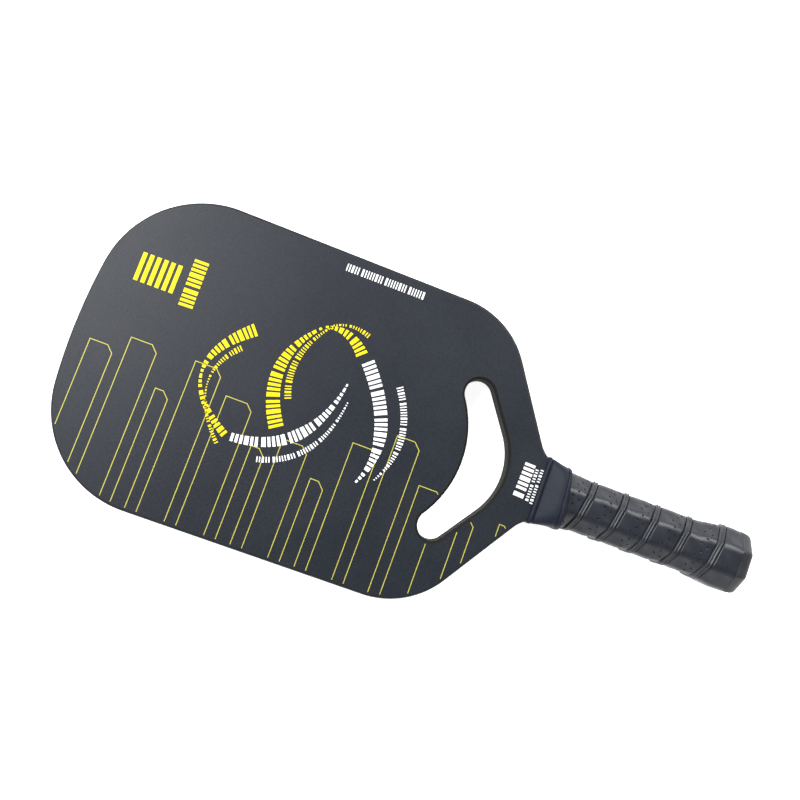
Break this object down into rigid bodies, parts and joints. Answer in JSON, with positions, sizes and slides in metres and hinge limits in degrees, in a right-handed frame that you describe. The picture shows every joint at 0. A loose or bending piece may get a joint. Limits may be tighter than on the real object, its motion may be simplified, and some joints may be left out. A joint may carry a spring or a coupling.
{
  "type": "pickleball paddle",
  "caption": "Edgeless long-bodied pickleball paddle with a crescent throat opening, elastic neck band, wound perforated grip and flared octagonal butt.",
  "frame": {"origin": "bottom centre of the bounding box, with the paddle lying flat, so the face's mid-plane is 17.2 mm up", "axes": "+X along the paddle from the head's tip to the butt, +Y across the face, +Z out of the printed front face"},
  "size_m": [0.419, 0.1896, 0.0344],
  "materials": {
    "face_skin": "matt, very fine grit",
    "edge_paint": "satin black paint over foam",
    "adhesive_film": "cured amber film",
    "honeycomb": "translucent white polypropylene",
    "handle_foam": "grey closed-cell foam",
    "tape": "paper-backed cloth tape",
    "grip_rubber": "satin perforated polyurethane",
    "band_rubber": "smooth satin rubber",
    "cap_plastic": "moulded satin plastic",
    "staple_steel": "drawn wire",
    "ink_yellow": "screen-printed yellow ink",
    "ink_white": "screen-printed white ink"
  },
  "bodies": {
    "root": {"front_face_sheet": "face_skin", "back_face_sheet": "face_skin", "front_adhesive_film": "adhesive_film", "back_adhesive_film": "adhesive_film", "edge_foam": "edge_paint", "honeycomb_core": "honeycomb", "throat_liner": "edge_paint", "handle_core": "handle_foam", "handle_shell_front": "handle_foam", "handle_shell_back": "handle_foam", "butt_cap": "cap_plastic", "cap_staple_front": "staple_steel", "cap_staple_back": "staple_steel", "handle_tape": "tape", "grip_tape": "grip_rubber", "finishing_tape": "tape", "neck_band": "band_rubber"}
  },
  "joints": []
}
